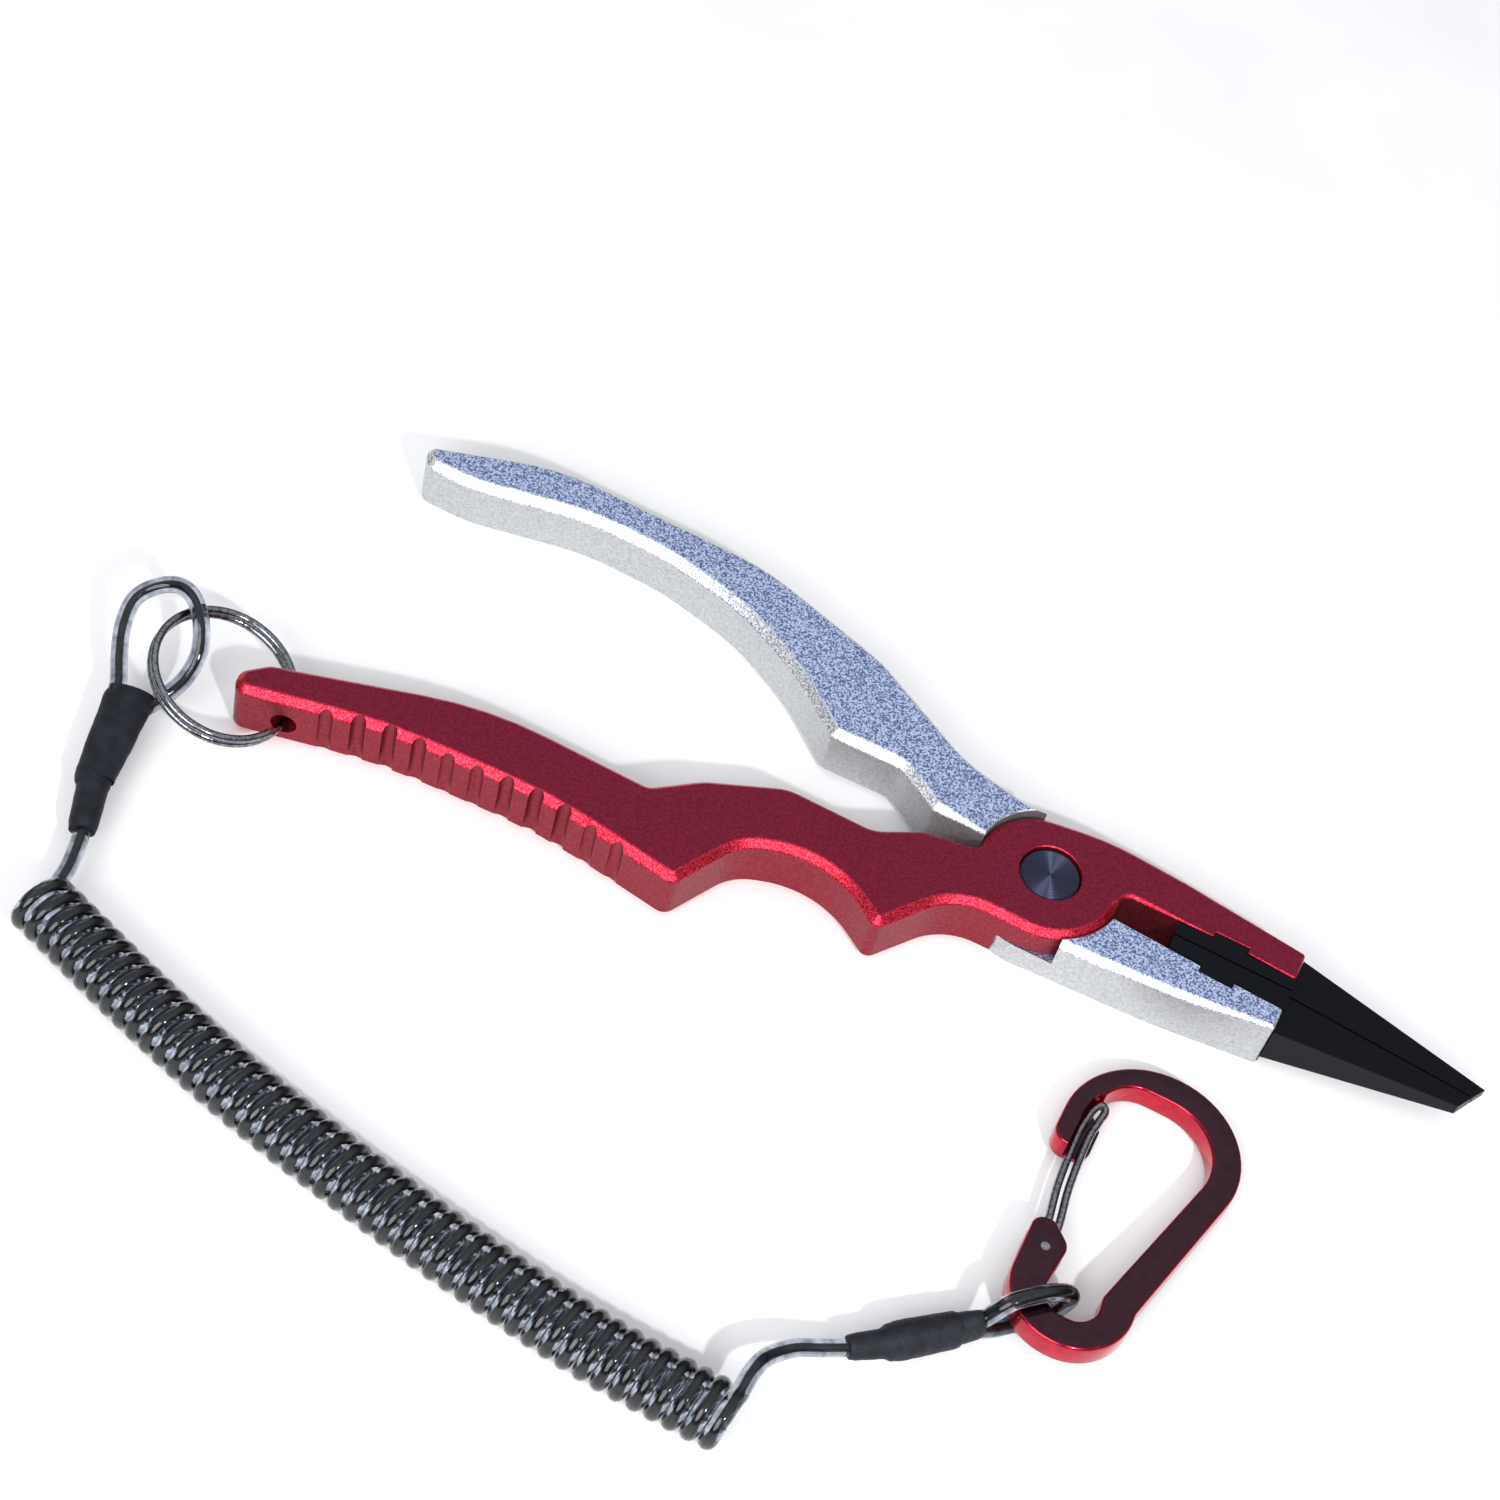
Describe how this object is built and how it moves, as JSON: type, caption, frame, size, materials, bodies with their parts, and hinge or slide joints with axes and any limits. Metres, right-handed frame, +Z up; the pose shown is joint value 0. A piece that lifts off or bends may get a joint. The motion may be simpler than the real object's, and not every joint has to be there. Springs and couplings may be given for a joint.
{
  "type": "fishing pliers",
  "caption": "Fishing pliers with anodised lapped handles, dark tapered jaws, and a coiled lanyard on a split ring with a wire-gate clip.",
  "frame": {"origin": "on the pivot axis, at the plane that the pliers lie on", "axes": "+X along the seam of the closed jaws towards the tips, +Y towards the silver handle, +Z up along the pivot pin to its visible head"},
  "size_m": [0.2215, 0.142, 0.016],
  "materials": {
    "red_anodised": "bead-blasted and anodised dark red, with bright cut edges",
    "silver_anodised": "coarse grey-blue anodised, with bright cut edges",
    "dark_steel": "black oxide, turned",
    "jaw_steel": "black coated steel, satin",
    "washer_brass": "plain",
    "spring_steel": "drawn wire",
    "ring_chrome": "black chrome",
    "cord_jacket": "smoke-clear jacket over a dark core",
    "sleeve_black": "matte heat-shrink",
    "clip_red": "glossy dark red anodised"
  },
  "bodies": {
    "red_body": {"red_half": "red_anodised", "pivot_pin": "dark_steel", "pivot_screw": "dark_steel", "thrust_washer": "washer_brass", "return_spring": "spring_steel", "upper_jaw": "jaw_steel", "upper_jaw_screws": "dark_steel", "cord_loop_a": "cord_jacket", "ferrule_a": "dark_steel", "sleeve_a": "sleeve_black", "cord_lead_a": "cord_jacket", "cord_coil": "cord_jacket", "cord_lead_b": "cord_jacket", "ferrule_b": "dark_steel", "sleeve_b": "sleeve_black", "cord_loop_b": "cord_jacket"},
    "silver_body": {"silver_half": "silver_anodised", "lower_jaw": "jaw_steel", "lower_jaw_screws": "dark_steel"},
    "ring_body": {"split_ring": "ring_chrome"},
    "clip_frame": {"clip_body": "clip_red", "clip_rivet": "spring_steel"},
    "clip_wire": {"clip_gate": "ring_chrome"}
  },
  "joints": [
    {"name": "jaw_hinge", "type": "hinge", "parent": "red_body", "child": "silver_body", "pos_m": [0, 0, 0.0055], "axis": [0, 0, -1], "range_deg": [0, 16], "stiffness_Nm_per_rad": 0.2, "springref_deg": 20.05},
    {"name": "ring_spin", "type": "hinge", "parent": "red_body", "child": "ring_body", "pos_m": [-0.1275, -0.0342, 0.0088], "axis": [0.3288, 0.0943, 0.9397], "continuous": true},
    {"name": "clip_swing", "type": "hinge", "parent": "red_body", "child": "clip_frame", "pos_m": [0.0295, -0.0638, 0], "axis": [0, 0, 1], "range_deg": [-15, 20]},
    {"name": "gate_hinge", "type": "hinge", "parent": "clip_frame", "child": "clip_wire", "pos_m": [0.0234, -0.05875, 0.00492], "axis": [0, -0.0698, -0.9976], "range_deg": [0, 25], "stiffness_Nm_per_rad": 0.01, "springref_deg": -17.19}
  ]
}
